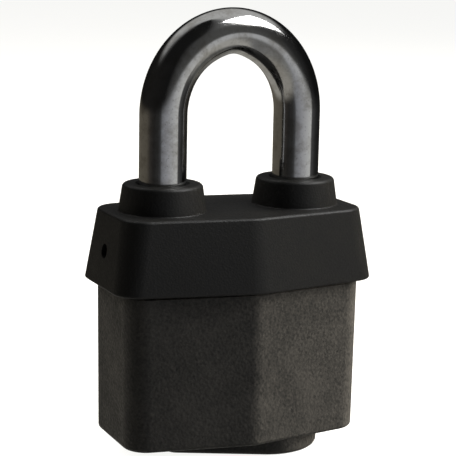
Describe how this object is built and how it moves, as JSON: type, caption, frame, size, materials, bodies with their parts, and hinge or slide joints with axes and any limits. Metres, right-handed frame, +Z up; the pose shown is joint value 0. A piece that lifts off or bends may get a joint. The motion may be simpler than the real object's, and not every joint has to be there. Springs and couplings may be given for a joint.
{
  "type": "padlock",
  "caption": "Weather-covered padlock: chromed steel shackle, laminated steel body with pin cylinder, plastic cap and jacket, and a swinging dust cover.",
  "frame": {"origin": "on the floor under the middle of the body, at the underside of the dust cover", "axes": "+X towards the toe (free) leg of the shackle, +Y to the back face, +Z up along the shackle legs"},
  "size_m": [0.0652, 0.04, 0.1055],
  "materials": {
    "chrome": "bright chrome plate over hardened steel",
    "cap_plastic": "moulded, soft satin",
    "jacket_plastic": "moulded, fine leathery texture",
    "plate_steel": "punched plate, dull",
    "brass": "machined",
    "spring_steel": "drawn wire and hardened steel, plain",
    "seal_rubber": "moulded, dull",
    "zinc": "die cast, dull"
  },
  "bodies": {
    "lock_body": {"lower_jacket": "jacket_plastic", "upper_cap": "cap_plastic", "heel_leg_seal": "seal_rubber", "toe_leg_seal": "seal_rubber", "dust_cover_pin": "spring_steel", "dust_cover_washer": "spring_steel", "plate_01": "plate_steel", "plate_02": "plate_steel", "plate_03": "plate_steel", "plate_04": "plate_steel", "plate_05": "plate_steel", "plate_06": "plate_steel", "plate_07": "plate_steel", "plate_08": "plate_steel", "plate_09": "plate_steel", "plate_10": "plate_steel", "plate_11": "plate_steel", "plate_12": "plate_steel", "rivet_heel_front": "plate_steel", "rivet_heel_back": "plate_steel", "rivet_toe_front": "plate_steel", "rivet_toe_back": "plate_steel", "cylinder_shell": "brass", "pin_chamber_cover": "brass", "pin_spring_1": "spring_steel", "pin_spring_2": "spring_steel", "pin_spring_3": "spring_steel", "pin_spring_4": "spring_steel", "pin_spring_5": "spring_steel", "shackle_spring": "spring_steel", "cylinder_retaining_screw": "spring_steel", "cap_screw_heel": "spring_steel", "cap_screw_toe": "spring_steel"},
    "shackle": {"shackle": "chrome"},
    "cylinder_plug": {"plug": "brass", "plug_clip": "spring_steel", "tailpiece": "zinc", "ball_cam": "zinc"},
    "toe_ball": {"toe_ball": "spring_steel"},
    "heel_ball": {"heel_ball": "spring_steel"},
    "dust_cover": {"dust_cover": "jacket_plastic"},
    "key_pin_1": {"key_pin_1": "brass"},
    "key_pin_2": {"key_pin_2": "brass"},
    "key_pin_3": {"key_pin_3": "brass"},
    "key_pin_4": {"key_pin_4": "brass"},
    "key_pin_5": {"key_pin_5": "brass"},
    "driver_pin_1": {"driver_pin_1": "brass"},
    "driver_pin_2": {"driver_pin_2": "brass"},
    "driver_pin_3": {"driver_pin_3": "brass"},
    "driver_pin_4": {"driver_pin_4": "brass"},
    "driver_pin_5": {"driver_pin_5": "brass"}
  },
  "joints": [
    {"name": "shackle_lift", "type": "slide", "parent": "lock_body", "child": "shackle", "axis": [0, 0, 1], "range_m": [0, 0.0232], "deforming": ["shackle_spring"]},
    {"name": "plug_turn", "type": "hinge", "parent": "lock_body", "child": "cylinder_plug", "pos_m": [0, 0, 0.0191], "axis": [0, 0, 1], "range_deg": [-90, 0]},
    {"name": "toe_ball_slide", "type": "slide", "parent": "lock_body", "child": "toe_ball", "axis": [1, 0, 0], "range_m": [0, 0.0026]},
    {"name": "heel_ball_slide", "type": "slide", "parent": "lock_body", "child": "heel_ball", "axis": [-1, 0, 0], "range_m": [0, 0.00144]},
    {"name": "dust_cover_swing", "type": "hinge", "parent": "lock_body", "child": "dust_cover", "pos_m": [-0.0127, 0, 0.002], "axis": [0, 0, 1], "range_deg": [0, 110]},
    {"name": "key_pin_1_slide", "type": "slide", "parent": "cylinder_plug", "child": "key_pin_1", "axis": [0, 1, 0], "range_m": [-0.0015, 0]},
    {"name": "key_pin_2_slide", "type": "slide", "parent": "cylinder_plug", "child": "key_pin_2", "axis": [0, 1, 0], "range_m": [-0.0015, 0]},
    {"name": "key_pin_3_slide", "type": "slide", "parent": "cylinder_plug", "child": "key_pin_3", "axis": [0, 1, 0], "range_m": [-0.0015, 0]},
    {"name": "key_pin_4_slide", "type": "slide", "parent": "cylinder_plug", "child": "key_pin_4", "axis": [0, 1, 0], "range_m": [-0.0015, 0]},
    {"name": "key_pin_5_slide", "type": "slide", "parent": "cylinder_plug", "child": "key_pin_5", "axis": [0, 1, 0], "range_m": [-0.0015, 0]},
    {"name": "driver_pin_1_slide", "type": "slide", "parent": "lock_body", "child": "driver_pin_1", "axis": [1, 0, 0], "range_m": [0, 0.0012], "stiffness_N_per_m": 20, "springref_m": -0.003, "deforming": ["pin_spring_1"]},
    {"name": "driver_pin_2_slide", "type": "slide", "parent": "lock_body", "child": "driver_pin_2", "axis": [1, 0, 0], "range_m": [0, 0.0012], "stiffness_N_per_m": 20, "springref_m": -0.003, "deforming": ["pin_spring_2"]},
    {"name": "driver_pin_3_slide", "type": "slide", "parent": "lock_body", "child": "driver_pin_3", "axis": [1, 0, 0], "range_m": [0, 0.0012], "stiffness_N_per_m": 20, "springref_m": -0.003, "deforming": ["pin_spring_3"]},
    {"name": "driver_pin_4_slide", "type": "slide", "parent": "lock_body", "child": "driver_pin_4", "axis": [1, 0, 0], "range_m": [0, 0.0012], "stiffness_N_per_m": 20, "springref_m": -0.003, "deforming": ["pin_spring_4"]},
    {"name": "driver_pin_5_slide", "type": "slide", "parent": "lock_body", "child": "driver_pin_5", "axis": [1, 0, 0], "range_m": [0, 0.0012], "stiffness_N_per_m": 20, "springref_m": -0.003, "deforming": ["pin_spring_5"]}
  ],
  "couplings": [
    {"joint": "toe_ball_slide", "follows": "plug_turn", "m_per_rad": -0.0016552},
    {"joint": "heel_ball_slide", "follows": "plug_turn", "m_per_rad": -0.00091673}
  ]
}
